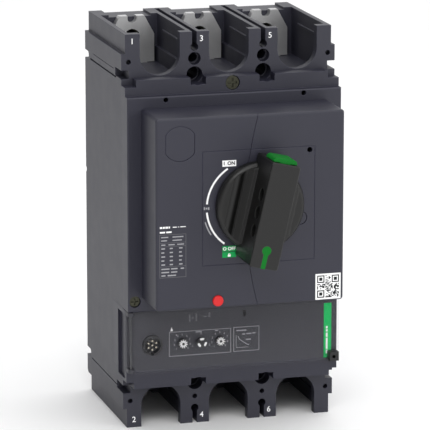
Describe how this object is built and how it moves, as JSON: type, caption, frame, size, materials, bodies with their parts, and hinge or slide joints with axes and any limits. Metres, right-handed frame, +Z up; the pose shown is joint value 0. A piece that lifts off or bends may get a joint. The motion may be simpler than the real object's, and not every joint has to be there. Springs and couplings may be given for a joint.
{
  "type": "molded case circuit breaker",
  "caption": "Front-connected molded case breaker with open terminal cells at both ends, a rotary handle with a padlockable grip, and a trip unit with dials under a hinged clear cover.",
  "frame": {"origin": "centre of the rear mounting face", "axes": "+X across the poles to the right as seen from the front, -Y out of the front, +Z up towards the line terminals"},
  "size_m": [0.14, 0.179, 0.255],
  "materials": {
    "case_plastic": "fine-grained moulded thermoset, dark blue-grey",
    "cover_plastic": "fine-grained moulded thermoplastic, dark blue-grey",
    "trip_unit_plastic": "fine-grained moulded thermoplastic",
    "handle_plastic": "satin black thermoplastic",
    "green_plastic": "satin coloured plastic",
    "red_plastic": "satin coloured plastic",
    "clear_plastic": "clear polycarbonate, lightly tinted",
    "black_plastic": "moulded black plastic",
    "dial_plastic": "moulded black plastic",
    "zinc_steel": "dark passivated zinc plate",
    "plain_steel": "rolled steel",
    "spring_steel": "drawn spring wire",
    "rotor_plastic": "brown phenolic moulding",
    "copper": "bare copper",
    "silver_contact": "sintered silver alloy",
    "fibre_board": "vulcanised fibre",
    "circuit_board": "solder-masked glass fibre board",
    "solenoid_steel": "nickel plated steel",
    "brass_pin": "gold-flashed brass",
    "tinned_copper": "tin plated copper, lightly brushed",
    "transformer_resin": "cast resin"
  },
  "bodies": {
    "case": {"rear_base": "case_plastic", "mid_case": "case_plastic", "front_cover": "cover_plastic", "cover_screws": "zinc_steel", "case_screws": "zinc_steel", "terminal_nuts": "zinc_steel", "contact_tips": "silver_contact", "arc_chute_cheeks": "fibre_board", "mechanism_plates": "plain_steel", "toggle_pin": "plain_steel", "main_springs": "spring_steel", "shuttle_rails": "black_plastic", "trip_unit_housing": "cover_plastic", "trip_unit_face": "trip_unit_plastic", "trip_cover_pin": "plain_steel", "test_connector": "black_plastic", "test_pins": "brass_pin", "trip_circuit_board": "circuit_board", "trip_solenoid": "solenoid_steel", "module_housing": "cover_plastic", "module_screws": "zinc_steel", "fascia_left": "cover_plastic", "fascia_right": "cover_plastic", "keylock_blank": "cover_plastic", "trip_button_spring": "spring_steel", "line_terminal_1": "tinned_copper", "load_terminal_1": "tinned_copper", "arc_plates_1": "plain_steel", "current_transformer_1": "transformer_resin", "line_terminal_2": "tinned_copper", "load_terminal_2": "tinned_copper", "arc_plates_2": "plain_steel", "current_transformer_2": "transformer_resin", "line_terminal_3": "tinned_copper", "load_terminal_3": "tinned_copper", "arc_plates_3": "plain_steel", "current_transformer_3": "transformer_resin"},
    "handle": {"handle_knob": "handle_plastic", "handle_pointer": "green_plastic", "handle_shaft": "plain_steel", "handle_pinion": "plain_steel", "padlock_slide_spring": "spring_steel"},
    "padlock_slide": {"padlock_slide": "green_plastic"},
    "shuttle": {"shuttle_plate": "black_plastic"},
    "toggle": {"toggle_lever": "black_plastic"},
    "contacts": {"contact_shaft": "plain_steel", "contact_rotor_1": "rotor_plastic", "contact_rotor_2": "rotor_plastic", "contact_rotor_3": "rotor_plastic", "contact_arm_1": "copper", "contact_arm_2": "copper", "contact_arm_3": "copper"},
    "trip_button": {"trip_button": "red_plastic"},
    "trip_bar": {"trip_bar": "black_plastic"},
    "trip_cover": {"trip_cover": "clear_plastic", "seal_latch": "black_plastic"},
    "trip_dial_1": {"trip_dial_1": "dial_plastic"},
    "trip_dial_2": {"trip_dial_2": "dial_plastic"},
    "trip_dial_3": {"trip_dial_3": "dial_plastic"}
  },
  "joints": [
    {"name": "handle_turn", "type": "hinge", "parent": "case", "child": "handle", "pos_m": [0.0053, -0.15, 0.0248], "axis": [0, 1, 0], "range_deg": [0, 150]},
    {"name": "padlock_slide_pull", "type": "slide", "parent": "handle", "child": "padlock_slide", "axis": [0.225, 0, 0.9744], "range_m": [0, 0.00575], "stiffness_N_per_m": 150, "springref_m": -0.004},
    {"name": "shuttle_travel", "type": "slide", "parent": "case", "child": "shuttle", "axis": [0, 0, 1], "range_m": [0, 0.0316]},
    {"name": "toggle_tilt", "type": "hinge", "parent": "case", "child": "toggle", "pos_m": [0, -0.0675, 0.0215], "axis": [-1, 0, 0], "range_deg": [0, 37.4]},
    {"name": "contact_turn", "type": "hinge", "parent": "case", "child": "contacts", "pos_m": [0, -0.036, 0.02], "axis": [-1, 0, 0], "range_deg": [0, 35.2]},
    {"name": "trip_button_push", "type": "slide", "parent": "case", "child": "trip_button", "axis": [0, 1, 0], "range_m": [0, 0.003], "stiffness_N_per_m": 400, "springref_m": -0.003, "deforming": ["trip_button_spring"]},
    {"name": "trip_bar_turn", "type": "hinge", "parent": "case", "child": "trip_bar", "pos_m": [0, -0.1025, -0.02], "axis": [1, 0, 0], "range_deg": [0, 12]},
    {"name": "trip_cover_swing", "type": "hinge", "parent": "case", "child": "trip_cover", "pos_m": [-0.0678, -0.1076, -0.0685], "axis": [0, 0, -1], "range_deg": [0, 110]},
    {"name": "trip_dial_1_turn", "type": "hinge", "parent": "case", "child": "trip_dial_1", "pos_m": [-0.0332, -0.106, -0.0715], "axis": [0, 1, 0], "range_deg": [-80, 200]},
    {"name": "trip_dial_2_turn", "type": "hinge", "parent": "case", "child": "trip_dial_2", "pos_m": [-0.0208, -0.106, -0.0715], "axis": [0, 1, 0], "range_deg": [-60, 180]},
    {"name": "trip_dial_3_turn", "type": "hinge", "parent": "case", "child": "trip_dial_3", "pos_m": [-0.0084, -0.106, -0.0715], "axis": [0, 1, 0], "range_deg": [-80, 200]}
  ],
  "couplings": [
    {"joint": "shuttle_travel", "follows": "handle_turn", "m_per_rad": 0.012},
    {"joint": "toggle_tilt", "follows": "handle_turn", "ratio": 0.24763},
    {"joint": "contact_turn", "follows": "handle_turn", "ratio": 0.23333},
    {"joint": "trip_bar_turn", "follows": "trip_button_push", "rad_per_m": 68}
  ]
}
